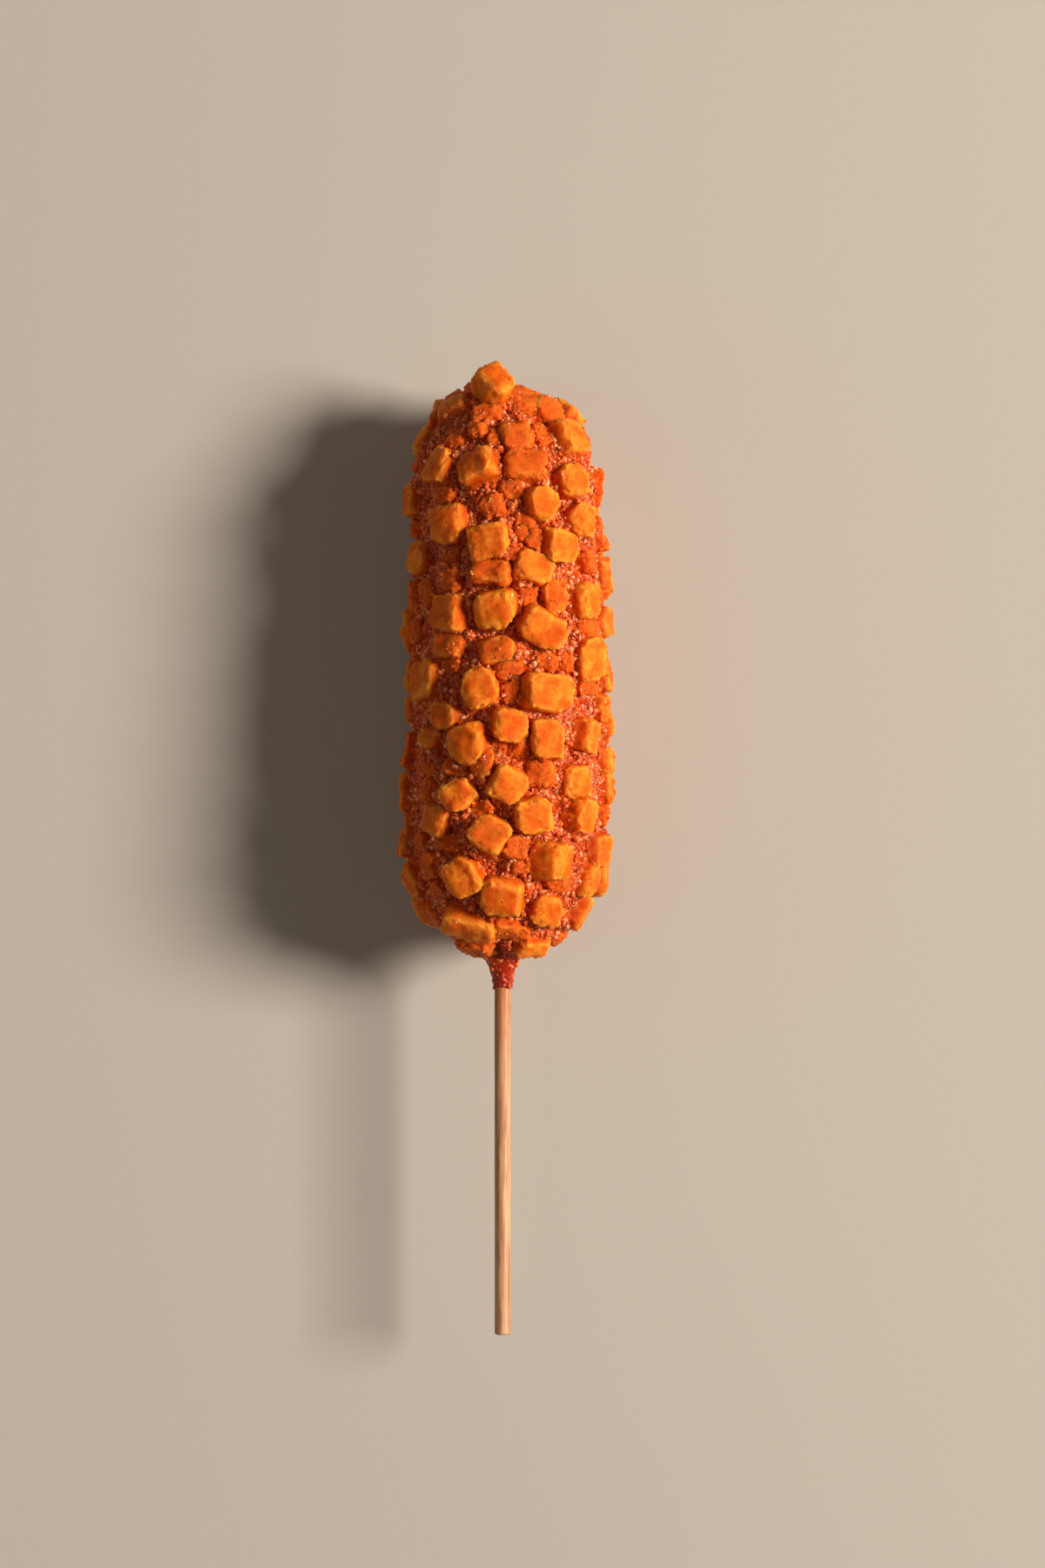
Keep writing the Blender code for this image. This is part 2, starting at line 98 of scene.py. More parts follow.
# The pieces on the side that shows, listed one by one: how far each is along the crust and
# across from the stick, its width, length and rise, all in mm, then its turn about the outward
# direction and, where it leans on an edge, how far over it stands, both in degrees.
SHOWN_POTATO = (
    (151.8, -2.8, 9.8, 7.8, 9.3, -46, 16),
    (155.0, -7.6, 7.5, 6.0, 3.4, 10),
    (150.3, -12.6, 9.4, 8.6, 3.8, 35),
    (151.3, 6.0, 9.0, 8.0, 3.0, 30),
    (149.4, 12.0, 8.4, 8.0, 3.4, -38),
    (148.0, -4.6, 7.5, 4.6, 2.8, 15),
    (143.6, -6.4, 5.0, 4.2, 2.8, 10),
    (141.3, -1.9, 4.0, 5.0, 2.6, -15),
    (142.0, 3.6, 8.5, 8.0, 3.4, 8),
    (141.0, 17.7, 8.6, 8.8, 5.4, 4),
    (141.2, -20.4, 8.4, 8.0, 4.8, 5),
    (134.4, -16.1, 7.8, 8.6, 4.6, -12),
    (133.7, -6.4, 10.0, 8.2, 5.0, 22),
    (134.7, 6.6, 10.6, 8.5, 3.4, -8),
    (130.8, 18.4, 8.6, 8.4, 5.4, 5),
    (127.4, -22.7, 7.8, 8.4, 4.8, 10),
    (124.5, -2.7, 6.2, 6.4, 3.2, 25),
    (125.4, 9.8, 8.6, 8.4, 5.0, -35),
    (119.8, -14.0, 9.6, 9.8, 5.2, 15),
    (121.0, 20.6, 8.8, 8.6, 4.8, -10),
    (115.3, -4.0, 10.2, 8.6, 5.4, 10),
    (117.4, 4.6, 3.8, 4.0, 2.2, 20),
    (116.0, 8.6, 4.6, 4.8, 2.6, -20),
    (114.4, 15.0, 9.4, 8.4, 5.2, -4),
    (111.4, -21.4, 9.2, 8.4, 4.6, 0),
    (107.0, -3.0, 10.0, 6.8, 3.6, -4),
    (108.0, 8.4, 9.8, 8.2, 4.6, -10),
    (105.9, -13.8, 6.6, 5.8, 3.0, 0),
    (102.6, -18.8, 4.8, 6.8, 3.2, 20),
    (102.3, -24.0, 6.0, 7.0, 3.6, 0),
    (96.6, -13.8, 9.8, 9.2, 5.0, -3),
    (97.8, -2.0, 10.2, 8.8, 5.2, 4),
    (100.8, 13.6, 6.4, 8.6, 3.6, 0),
    (100.4, 21.6, 8.6, 9.0, 5.2, 0),
    (93.2, 11.2, 11.4, 8.6, 5.6, -28),
    (92.6, -22.0, 6.6, 6.4, 3.4, 10),
    (88.4, -14.0, 8.6, 6.8, 3.8, -6),
    (87.2, -1.2, 9.0, 6.2, 3.6, 8),
    (82.8, 2.2, 7.0, 4.6, 2.6, 15),
    (84.6, 11.5, 5.6, 4.8, 2.6, -20),
    (85.6, 22.6, 9.6, 11.0, 5.0, 8),
    (79.4, -19.6, 11.0, 10.0, 4.8, 12),
    (77.4, -7.0, 9.0, 9.6, 5.4, 28),
    (76.4, 12.2, 13.0, 9.0, 5.6, -8),
    (70.6, -15.0, 8.8, 6.8, 4.0, -5),
    (68.3, 1.6, 9.4, 8.8, 5.0, -6),
    (73.0, 25.4, 7.6, 6.8, 4.4, 0),
    (65.8, 21.8, 8.0, 8.8, 5.0, -12),
    (64.4, -18.4, 6.8, 6.6, 4.0, -20),
    (63.5, -9.4, 9.4, 9.8, 5.2, 12),
    (64.4, 12.2, 8.4, 10.2, 5.4, -2),
    (58.2, -4.8, 5.8, 7.2, 3.4, -15),
    (57.8, -19.2, 6.4, 4.6, 2.4, -15),
    (56.6, -11.8, 6.8, 3.6, 2.0, -8),
    (53.2, 1.0, 9.0, 8.6, 5.2, -28),
    (59.6, 26.6, 7.4, 6.8, 4.6, 0),
    (53.8, 19.2, 9.4, 8.4, 4.4, 5),
    (51.4, 27.0, 7.4, 7.6, 4.8, 0),
    (51.2, -24.8, 7.6, 9.4, 4.6, 3),
    (50.2, -11.8, 8.8, 8.2, 5.2, 42),
    (45.0, 8.6, 9.6, 9.4, 5.4, 10),
    (45.0, 20.6, 8.8, 8.8, 5.0, -10),
    (43.2, -17.6, 8.0, 8.0, 4.2, -10),
    (46.8, -6.2, 8.0, 4.2, 2.2, 15),
    (40.2, -4.0, 9.6, 8.6, 5.2, -32),
    (37.6, -25.0, 7.6, 8.0, 4.4, 5),
    (37.3, 3.5, 5.4, 5.8, 3.2, -25),
    (33.8, 13.6, 9.4, 9.4, 5.8, -4, 38),
    (36.4, 25.0, 8.0, 8.4, 4.8, 0),
    (29.8, -10.6, 9.2, 10.2, 5.4, 24),
    (32.8, -18.6, 5.0, 6.4, 3.2, 5),
    (28.8, -23.2, 8.2, 8.6, 4.6, 20),
    (32.6, 5.2, 4.6, 4.6, 2.2, 0),
    (25.4, 0.0, 10.6, 9.0, 5.4, -8),
    (29.0, 22.0, 8.4, 7.6, 4.6, 10),
    (22.0, 12.6, 8.6, 8.2, 5.0, -8),
    (21.1, 20.2, 8.0, 9.0, 4.6, -10),
    (18.6, -9.4, 13.6, 7.8, 5.0, -28),
    (20.4, -18.4, 7.6, 7.0, 3.0, -30),
    (13.0, 8.4, 9.6, 6.4, 4.6, 4),
    (12.6, -8.4, 9.4, 6.8, 3.2, -38),
    (143.0, 23.2, 5.0, 7.0, 3.4, 0),
    (136.0, -22.4, 5.0, 4.5, 2.8, 0),
    (130.5, 24.8, 4.4, 9.0, 3.4, 0),
    (119.5, -22.6, 5.5, 5.0, 2.8, 10),
    (118.0, 26.4, 4.4, 9.0, 3.6, 0),
    (108.6, 25.4, 6.5, 6.2, 3.8, 0),
    (93.2, 22.0, 7.0, 4.6, 3.2, -5),
    (86.6, -22.6, 5.0, 5.0, 2.8, 0),
    (78.6, 22.0, 7.5, 5.0, 3.2, 0),
    (72.6, -25.4, 4.6, 7.0, 3.6, 0),
    (61.6, -26.2, 5.0, 9.0, 4.2, 0),
    (56.0, 10.6, 7.0, 6.4, 3.0, 0),
    (45.6, 26.2, 5.4, 5.6, 3.6, 0),
    (45.2, -24.8, 5.0, 4.0, 2.8, 0),
    (28.0, 14.6, 6.5, 4.0, 2.6, 0),
    (16.8, 2.4, 9.0, 6.0, 2.8, -8),
    (15.0, 15.6, 8.0, 4.6, 3.2, 20),
    (152.4, -2.4, 7.0, 6.8, 4.8, 0),
)

# Scraps of potato nearly buried in the crust between those pieces, in rows of the same kind.
BURIED_SCRAPS = (
    (142.0, -12.0, 5.5, 5.0, 2.2, 0),
    (142.5, 10.4, 5.5, 6.0, 2.2, 20),
    (127.6, -14.8, 5.5, 4.6, 2.0, -10),
    (128.8, 2.4, 6.5, 5.4, 2.4, 10),
    (121.0, 5.8, 5.0, 4.0, 2.0, 0),
    (112.4, -13.4, 5.0, 5.0, 2.0, 0),
    (112.0, 3.2, 4.5, 4.8, 2.2, 0),
    (110.5, 22.0, 5.0, 5.0, 2.2, 0),
    (101.0, 6.2, 5.0, 5.5, 2.2, 0),
    (98.6, -21.6, 5.0, 4.0, 2.2, 0),
    (84.2, 16.4, 3.6, 4.4, 2.2, 0),
    (83.6, -13.0, 5.5, 4.0, 2.1, 0),
    (77.0, 2.6, 5.6, 5.0, 2.0, 10),
    (62.4, -1.0, 4.4, 4.4, 2.2, 0),
    (62.0, 4.8, 5.4, 4.6, 2.1, -10),
    (51.6, -19.2, 4.4, 5.4, 2.2, 0),
    (38.4, -20.6, 4.4, 4.0, 2.2, 0),
    (38.0, -13.6, 6.6, 4.2, 2.1, -5),
    (26.4, -16.8, 4.6, 5.0, 2.2, 0),
    (11.4, -4.2, 4.0, 4.6, 2.2, 20),
)

# The pieces on the sides and underside, put wherever it is barest.
UNSEEN_CUBES = 60
UNSEEN_BITS = 30
UNSEEN_FROM = math.radians(84)
CUBE_REACH = (16 * MM, 148 * MM)
BIT_REACH = (14 * MM, 153 * MM)
TRIES_PER_PIECE = 90
LAYOUT_SEED = 44

# The crust's mesh, finest on the side that shows and at both ends.
CRUST_RINGS = 330
CRUST_SIDES = 288
TOP_CROWDING = 0.38
END_CROWDING = 0.13
LEAST_RADIUS = 0.02 * MM

# The crust's relief, which starts a little below the smooth crust.
RELIEF_DEPTH = 0.1 * MM
COLLAR_DEPTH = 0.6 * MM
CLUMP_HEIGHT = 0.8 * MM
CLUMP_WIDTH = 3.2 * MM
COARSE_HEIGHT = 0.6 * MM
COARSE_WIDTH = 1.5 * MM
FINE_HEIGHT = 0.4 * MM
FINE_WIDTH = 0.95 * MM
PATCH_WIDTH = 6.0 * MM
LIP_LENGTH = 3 * MM
LIP_WANDER = 1.1 * MM

# How batter climbs a piece's sides: at most so high and so much of its rise, and how far out
# it starts. It is ragged over the first width, and over the second it comes and goes.
CLIMB_HEIGHT = 2.1 * MM
CLIMB_SHARE = 0.45
CLIMB_REACH = 1.7 * MM
RAGGED_WIDTH = 1.6 * MM
CLIMB_WIDTH = 4.5 * MM

# How much larger a piece starts, since wear takes its corners, and the rise over which a
# piece is a whole cube.
WEAR_ALLOWANCE = 1.05
LEAST_WHOLE_RISE = 4.1 * MM

# How frying leaves a piece: edges rounded and faces sunk or swollen, from the least to the
# most in mm, the whole a little warped, its skin blistered, its edges chipped and frayed.
EDGE_RADII = (1.7, 2.5)
FACE_BOWLS = (-0.3, 0.35)
WARP_WIDTH = 4.5 * MM
BLISTER_HEIGHT = 0.22 * MM
BLISTER_WIDTH = 1.3 * MM
CHIP_DEPTH = 0.5 * MM
CHIP_LENGTH = 1.4 * MM
FRAY_HEIGHT = 0.45 * MM
FRAY_LENGTH = 1.0 * MM

# Where a chopped chip loses potato: its upright edges, then its outer edges and corners.
UPRIGHT_EDGES = ((1, 1, 0), (1, -1, 0), (-1, 1, 0), (-1, -1, 0))
OUTER_EDGES = ((1, 0, 1), (-1, 0, 1), (0, 1, 1), (0, -1, 1))
OUTER_CORNERS = ((1, 1, 1), (1, -1, 1), (-1, 1, 1), (-1, -1, 1))

# Crumbs of the coating, and the coarse sugar that sticks to them: how many on the crust and
# on the potato, and their least and most sizes, of which the smaller are commoner.
CLOTTED_CRUMBS = (3600, 0, 1.0 * MM, 2.1 * MM)
CRUST_CRUMBS = (9900, 0, 0.5 * MM, 1.15 * MM)
FINE_CRUMBS = (9900, 0, 0.35 * MM, 0.75 * MM)
POTATO_CRUMBS = (0, 9600, 0.35 * MM, 0.9 * MM)
SUGAR_GRAINS = (10000, 2600, 0.3 * MM, 0.65 * MM)
CRUMB_ROUGHNESS = 0.45 * MM
CRUMB_CORNERS = 12
SUGAR_CORNERS = 8
BATCH = 80

# The random numbers of the potato's wear, and those of the crumbs and sugar.
WEAR_SEED = 7
GRAIN_SEED = 11

# The stick's skin: shallow open grain, and a slight waver in its thickness.
STICK_RINGS = 420
STICK_SIDES = 40
GROOVE_DEPTH = 0.05 * MM
WAVER_HEIGHT = 0.08 * MM
WAVER_LENGTH = 30 * MM


def ellipse_rise(share):
    """A quarter ellipse: 0 at share 0, 1 from share 1 on."""
    share = min(max(share, 0.0), 1.0)
    return math.sqrt(1 - (1 - share) ** 2)


def crust_radius(along):
    """The bare crust's radius: collar, wide base, slow taper and domed tip."""
    taper = min(max(along / CRUST_LENGTH, 0.0), 1.0) ** 1.5
    body = BASE_RADIUS + (TIP_RADIUS - BASE_RADIUS) * taper
    body *= ellipse_rise((along - COLLAR_LENGTH) / SHOULDER_LENGTH)
    body *= ellipse_rise((CRUST_LENGTH - along) / DOME_LENGTH)
    if along < COLLAR_LENGTH + SHOULDER_LENGTH / 2:
        flare = COLLAR_FLARE * min(along / COLLAR_LENGTH, 1.0) ** 2
        body = max(body, STICK_DIAMETER / 2 + COLLAR_WALL + flare)
    return body


def crust_middle(along):
    """The centre of the crust's cross-section, with the stick's axis at X = Z = 0."""
    share = min(max(along / CRUST_LENGTH, 0.0), 1.0)
    side = SIDE_BOW * math.sin(math.pi * share**1.5)
    return Vector((side, HANDLE_LENGTH + along, -TIP_DROOP * share**2))


def crust_point(along, around):
    """A point of the smooth crust. around is 0 at the top (+Z) and grows towards +X."""
    outward = Vector((math.sin(around), 0, math.cos(around)))
    return crust_middle(along) + crust_radius(along) * outward


def crust_normal(along, around):
    """The crust's outward direction there, from two short steps over its surface."""
    step, turn = 0.5 * MM, math.radians(0.5)
    ahead = crust_point(along + step, around) - crust_point(along - step, around)
    aside = crust_point(along, around + turn) - crust_point(along, around - turn)
    return aside.cross(ahead).normalized()


def outward_frame(normal):
    """Axes for a piece: Z out of the crust, Y along it towards the tip, X to the right."""
    ahead = (Vector((0, 1, 0)) - normal * normal.y).normalized()
    return Matrix((ahead.cross(normal), ahead, normal)).transposed()


class Potato:
    """A piece of potato, nearly a box: its three widths, where it sits and how it is turned."""

    def __init__(self, rng, place, widths, rise, turn, stand=0.0):
        self.seat = crust_point(*place)
        self.reach = max(widths[0], widths[1]) / 2
        self.widths = widths
        self.rise = rise
        normal = crust_normal(*place)
        leans = [min(max(rng.gauss(0, LEAN), -MOST_LEAN), MOST_LEAN) for _ in range(2)]
        facing = outward_frame(normal)
        facing @= Matrix.Rotation(turn, 3, "Z")
        facing @= Matrix.Rotation(leans[0], 3, "X")
        facing @= Matrix.Rotation(leans[1] + stand, 3, "Y")
        pressed = UNDERSIDE_PRESS * max(0.0, -normal.z)
        self.centre = self.seat + normal * (rise - widths[2] / 2 - pressed)
        self.normal = normal
        self.facing = facing
        self.wander = []
        for _ in range(8):
            self.wander.append([rng.uniform(-1, 1) * CORNER_WANDER for _ in range(3)])


def shown_potato(rng, along, across, width, length, rise, turn, stand=0.0):
    """One row of SHOWN_POTATO, set where it shows that far across when seen from above."""
    along, across, width, length, rise = (
        number * MM for number in (along, across, width, length, rise)
    )
    across -= crust_middle(along).x
    radius = crust_radius(along)
    # On top its outer face shows, and far round the side half of what shows is its flank.
    height = rise * (1 - 0.5 * min(abs(across) / radius, 1.0))
    around = math.asin(min(max(across / (radius + height), -1.0), 1.0))
    widths = (width, length, min(width, length, CHIP_WIDTH))
    return Potato(rng, (along, around), widths, rise, math.radians(turn), math.radians(stand))


def unseen_potato(rng, placed, widths, rises, stretch):
    """A piece on the sides or underside: of several random places there, the barest."""
    best, most_room = None, -math.inf
    for _ in range(TRIES_PER_PIECE):
        place = rng.uniform(*stretch), rng.uniform(UNSEEN_FROM, 2 * math.pi - UNSEEN_FROM)
        seat = crust_point(*place)
        room = min((seat - other.seat).length - other.reach for other in placed)
        if room > most_room:
            best, most_room = place, room
    return Potato(rng, best, widths, rng.uniform(*rises), rng.uniform(0, math.pi))


def cube_widths(rng):
    """A chip's two sides and its cut length."""
    chip = [CHIP_WIDTH * (1 + rng.uniform(-1, 1) * WIDTH_SPREAD) for _ in range(2)]
    return (chip[0], rng.uniform(*CUT_LENGTHS), chip[1])


def bit_widths(rng):
    return tuple(rng.uniform(*BIT_WIDTHS) for _ in range(3))


def potato_layout():
    """Every piece of potato: those listed one by one, then the unseen cubes and bits."""
    rng = random.Random(LAYOUT_SEED)
    placed = [shown_potato(rng, *row) for row in SHOWN_POTATO]
    for _ in range(UNSEEN_CUBES):
        widths = cube_widths(rng)
        placed.append(unseen_potato(rng, placed, widths, CUBE_RISES, CUBE_REACH))
    for _ in range(UNSEEN_BITS):
        widths = bit_widths(rng)
        placed.append(unseen_potato(rng, placed, widths, BIT_RISES, BIT_REACH))
    return placed


def smooth_step(low, high, values):
    """0 below low, 1 above high, and smooth between."""
    share = np.clip((values - low) / (high - low), 0, 1)
    return share * share * (3 - 2 * share)


def noise_at(points, size, octaves=1):
    """Smooth noise from about -1 to 1 at each point, with features of that size. A number
    added to the points reads another part of it, so that no two reliefs match."""
    spots = (points / size).tolist()
    if octaves == 1:
        return np.array([noise.noise(spot) for spot in spots])
    return np.array([noise.fractal(spot, 1.0, 2.0, octaves) for spot in spots])


def grains_at(points, size):
    """Rounded grains of that size: 1 at a grain's middle, falling to 0 between grains."""
    near = np.array([noise.voronoi(spot)[0][0] for spot in (points / size).tolist()])
    return np.clip(1 - (near / 0.62) ** 2, 0, 1)


def object_from(bm, name):
    mesh = bpy.data.meshes.new(name)
    bm.to_mesh(mesh)
    bm.free()
    obj = bpy.data.objects.new(name, mesh)
    bpy.context.scene.collection.objects.link(obj)
    return obj


def coordinates(mesh):
    flat = np.empty(len(mesh.vertices) * 3)
    mesh.vertices.foreach_get("co", flat)
    return flat.reshape(-1, 3)


def move_points(mesh, points):
    mesh.vertices.foreach_set("co", np.ascontiguousarray(points).ravel())
    mesh.update()


def store(mesh, name, values):
    """Keeps one number per vertex, for the materials to read."""
    layer = mesh.attributes.new(name, "FLOAT", "POINT")
    layer.data.foreach_set("value", np.asarray(values, np.float32))


def lathed(profile, sides):
    """A closed mesh spun about Y from (radius, y) pairs, whose ends are drawn in to the axis."""
    bm = bmesh.new()
    ends = [(0, profile[0][1]), *profile, (0, profile[-1][1])]
    verts = [bm.verts.new((0, y, radius)) for radius, y in ends]
    edges = [bm.edges.new(pair) for pair in zip(verts, verts[1:])]
    bmesh.ops.spin(
        bm, geom=verts + edges, cent=(0, 0, 0), axis=(0, 1, 0),
        angle=2 * math.pi, steps=sides, use_merge=True,
    )
    bmesh.ops.remove_doubles(bm, verts=bm.verts, dist=0.001 * MM)
    bmesh.ops.recalc_face_normals(bm, faces=bm.faces)
    # The spin leaves its faces in no fixed order, and the crumbs are drawn from that order.
    bm.verts.index_update()
    faces = sorted(bm.faces, key=lambda face: sorted(vert.index for vert in face.verts))
    for place, face in enumerate(faces):
        face.index = place
    bm.faces.sort()
    return bm


def above_table(points):
    """Nothing goes through the table: what would is pressed flat on it."""
    points[:, 2] = np.maximum(points[:, 2], -REST_DEPTH)
    return points


def footprint_distance(points, potato):
    """How far each point is from a piece's sides, measured over the crust."""
    local = (points - np.array(potato.centre)) @ np.array(potato.facing)
    outside = np.abs(local[:, :2]) - np.array(potato.widths[:2]) / 2
    return np.hypot(*np.maximum(outside, 0).T) + np.minimum(outside.max(axis=1), 0)


def potato_climb(smooth, layout):
    """How far batter stands up round each piece of potato, at every point of the crust."""
    ragged = 1 + 0.8 * noise_at(smooth, RAGGED_WIDTH, 2)
    ragged *= 0.3 + 0.7 * smooth_step(-0.25, 0.2, noise_at(smooth + 5, CLIMB_WIDTH))
    climb = np.zeros(len(smooth))
    for potato in layout:
        near = np.linalg.norm(smooth - np.array(potato.seat), axis=1) < potato.reach * 1.5 + 6 * MM
        gap = footprint_distance(smooth[near], potato)
        lift = np.exp(-((np.maximum(gap, 0) / CLIMB_REACH) ** 2))
        lift *= min(CLIMB_HEIGHT, CLIMB_SHARE * potato.rise)
        climb[near] = np.maximum(climb[near], lift * ragged[near])
    return climb


def crust(layout):
    """The seasoned crust: lumps, clumps and crumbs, climbing the sides of each potato piece."""
    steps = np.arange(CRUST_RINGS + 1) / CRUST_RINGS
    # Rings crowd a little towards both ends, where the profile turns fastest.
    alongs = CRUST_LENGTH * (steps - END_CROWDING * np.sin(2 * math.pi * steps))
    profile = [(max(crust_radius(along), LEAST_RADIUS), along) for along in alongs]
    obj = object_from(lathed(profile, CRUST_SIDES), "crust")
    points = coordinates(obj.data)
    along = points[:, 1]
    around = np.arctan2(points[:, 0], points[:, 2])
    around -= TOP_CROWDING * np.sin(around)
    radius = np.hypot(points[:, 0], points[:, 2])
    outward = np.stack([np.sin(around), np.zeros(len(points)), np.cos(around)], axis=1)
    middle = np.array([crust_middle(place) for place in along])
    smooth = middle + outward * radius[:, None]

    # Crumbs cover most of it, and between them patches of batter are left bare and smooth.
    body = smooth_step(0.6 * COLLAR_LENGTH, 1.8 * COLLAR_LENGTH, along)
    grit = smooth_step(-0.55, -0.15, noise_at(smooth + 1, PATCH_WIDTH, 2))
    swell = LUMP_HEIGHT * noise_at(smooth, LUMP_WIDTH) * body
    clumps = CLUMP_HEIGHT * noise_at(smooth, CLUMP_WIDTH, 3) * (0.25 + 0.75 * body)
    crumbs = COARSE_HEIGHT * grains_at(smooth + 3, COARSE_WIDTH)
    crumbs *= 0.2 + 0.8 * grit
    crumbs *= 0.3 + 0.7 * body
    crumbs += FINE_HEIGHT * grains_at(smooth + 8, FINE_WIDTH) * grit * (0.45 + 0.55 * body)
    climb = potato_climb(smooth, layout)

    # The profile's slope, so that relief stands out of the dome and base and not only sideways.
    slope = np.gradient([crust_radius(place) for place in alongs], alongs)
    lean = np.clip(np.interp(along, alongs, slope), -4, 4)
    normal = outward - lean[:, None] * np.array([0, 1, 0])
    normal /= np.linalg.norm(normal, axis=1)[:, None]
    relief = swell + clumps + crumbs + climb - RELIEF_DEPTH * body - COLLAR_DEPTH * (1 - body)
    points = smooth + normal * relief[:, None]
    lip = np.clip(1 - along / LIP_LENGTH, 0, 1)
    points[:, 1] += LIP_WANDER * lip * noise_at(smooth, 1.8 * MM, 2)
    move_points(obj.data, above_table(points))
    store(obj.data, "grit", grit * (0.15 + 0.85 * body))
    # How high the relief stands; the crust's colour darkens the low parts by it, as painted shade.
    store(obj.data, "height", smooth_step(-0.3 * MM, 1.0 * MM, clumps + crumbs))
    store(obj.data, "stain", 1 - 0.9 * body)
    obj.data.shade_smooth()
    return obj


def gridded_cube(cuts):
    """A cube from -1 to 1, each face divided into a grid."""
    bm = bmesh.new()
    bmesh.ops.create_cube(bm, size=2)
    bmesh.ops.subdivide_edges(bm, edges=bm.edges, cuts=cuts, use_grid_fill=True)
    mesh = bpy.data.meshes.new("gridded_cube")
    bm.to_mesh(mesh)
    bm.free()
    return mesh


def relaxed(points, mesh, rounds):
    """Each point drawn half way to the middle of its neighbours, which softens every edge."""
    ends = np.empty(len(mesh.edges) * 2, int)
    mesh.edges.foreach_get("vertices", ends)
    first, second = ends.reshape(-1, 2).T
    neighbours = np.bincount(ends, minlength=len(points))[:, None]
    for _ in range(rounds):
        total = np.zeros_like(points)
        np.add.at(total, first, points[second])
        np.add.at(total, second, points[first])
        points = (points + total / neighbours) / 2
    return points


def knocked_off(points, half, rng):
    """A box that has lost edges and corners, so that its outline is a polygon of its own."""
    cuts = [(signs, rng.uniform(0.05, 0.75)) for signs in UPRIGHT_EDGES]
    cuts += [(signs, rng.uniform(0.0, 0.2)) for signs in OUTER_EDGES]
    cuts += [(rng.choice(OUTER_CORNERS), rng.uniform(0.5, 1.0)) for _ in range(rng.randint(0, 2))]
    for signs, share in cuts:
        signs = np.array(signs)
        beyond = np.maximum(points @ signs - (half @ np.abs(signs) - share * min(half)), 0)
        points = points - beyond[:, None] * signs / np.abs(signs).sum()
    return points


def rounded_edges(points, half, radius):
    """The box with its edges rounded, its normals, and how near to an edge each point is."""
    core = np.clip(points, radius - half, half - radius)
    offset = points - core
    reach = np.maximum(np.linalg.norm(offset, axis=1), 1e-9)
    normal = offset / reach[:, None]
    points = core + normal * np.minimum(reach, radius)[:, None]
    # Half way round an edge the largest part of the normal is about 0.71.
    edge = np.clip((1 - np.abs(normal).max(axis=1)) / 0.29, 0, 1)
    return points, normal, edge


def face_bowl(unit, points, half):
    """1 at the middle of each face, falling to 0 at its edges."""
    facing_axis = np.abs(unit).argmax(axis=1)
    bowl = np.ones(len(points))
    for axis in range(3):
        share = np.abs(points[:, axis]) / half[axis]
        bowl *= np.where(facing_axis == axis, 1, 1 - share**2)
    return bowl


def wandered(points, half, potato):
    """The corners moved about, each carrying the rest of the piece with it."""
    shares = points / half
    for corner, wander in enumerate(potato.wander):
        signs = np.array([1 if corner >> axis & 1 else -1 for axis in range(3)])
        points = points + np.prod((1 + signs * shares) / 2, axis=1)[:, None] * np.array(wander)
    return points


def worn_potato(grid, potato, rng):
    """A grid's points moved to a fried piece's shape, with its crumb cover, its edge wear and
    its red low on the sides, partly oil and partly painted shade."""
    half = np.array(potato.widths) / 2 * WEAR_ALLOWANCE
    unit = coordinates(grid)
    points = knocked_off(unit * half, half, rng)
    radius = rng.uniform(*EDGE_RADII) * MM * min(1, min(half) / (4 * MM))
    points, normal, edge = rounded_edges(points, half, radius)
    # Frying dries a face, so it mostly sinks between its crisp edges.
    points -= normal * (rng.uniform(*FACE_BOWLS) * MM * face_bowl(unit, points, half))[:, None]
    points = wandered(relaxed(points, grid, 2), half, potato)

    facing = np.array(potato.facing)
    points = points @ facing.T + np.array(potato.centre)
    normal = normal @ facing.T

    # Low pieces are coated nearly all over, and tall ones hardly above their foot, though
    # those at the sides a little more.
    height = (points - np.array(potato.seat)) @ np.array(potato.normal)
    bare = np.clip((potato.rise / MM - 3.2) / 1.4, 0, 1) * (1 - 0.25 * abs(potato.normal.x) ** 2)
    ragged = noise_at(points, 2.2 * MM, 3)
    foot = 1 - smooth_step(0.6 * MM, 3.2 * MM, height + 1.4 * MM * ragged)
    cover = smooth_step(bare * 0.9 - 0.4, bare * 0.9 + 0.1, ragged)
    coat = np.clip(np.maximum(foot, cover), 0, 1)
    # Red low on the sides: partly chilli oil, partly painted shade where the piece meets the crust.
    oil_and_painted_shade = 1 - smooth_step(1.2 * MM, 4.6 * MM, height + 1.4 * MM * ragged)

    warp = (0.6 - 0.1 * bare) * MM * noise_at(points, WARP_WIDTH, 2)
    blisters = BLISTER_HEIGHT * noise_at(points, BLISTER_WIDTH, 3)
    chips = -CHIP_DEPTH * edge * smooth_step(0.05, 0.45, noise_at(points + 5, CHIP_LENGTH))
    fray = FRAY_HEIGHT * edge * smooth_step(0.0, 0.4, noise_at(points + 9, FRAY_LENGTH))
    crumbs = 0.5 * MM * coat * grains_at(points, 1.4 * MM)
    points += normal * (warp + blisters + chips + fray + crumbs)[:, None]
    return above_table(points), coat, edge * (1 - coat), oil_and_painted_shade


def potato_pieces(layout, name, cuts, rng):
    """One joined piece of potato cubes or bits."""
    grid = gridded_cube(cuts)
    whole = bmesh.new()
    kept = {"coat": [], "edge": [], "oil_and_painted_shade": [], "hold": [], "tone": []}
    for potato in layout:
        one = grid.copy()
        points, coat, edge, oil_and_painted_shade = worn_potato(grid, potato, rng)
        move_points(one, points)
        whole.from_mesh(one)
        bpy.data.meshes.remove(one)
        hold = np.maximum(coat, 0.55 * edge)
        tone = np.full(len(points), rng.random())
        for parts, values in zip(kept.values(), (coat, edge, oil_and_painted_shade, hold, tone)):
            parts.append(values)
    bpy.data.meshes.remove(grid)
    obj = object_from(whole, name)
    for attribute_name, parts in kept.items():
        store(obj.data, attribute_name, np.concatenate(parts))
    obj.data.shade_smooth()
    return obj


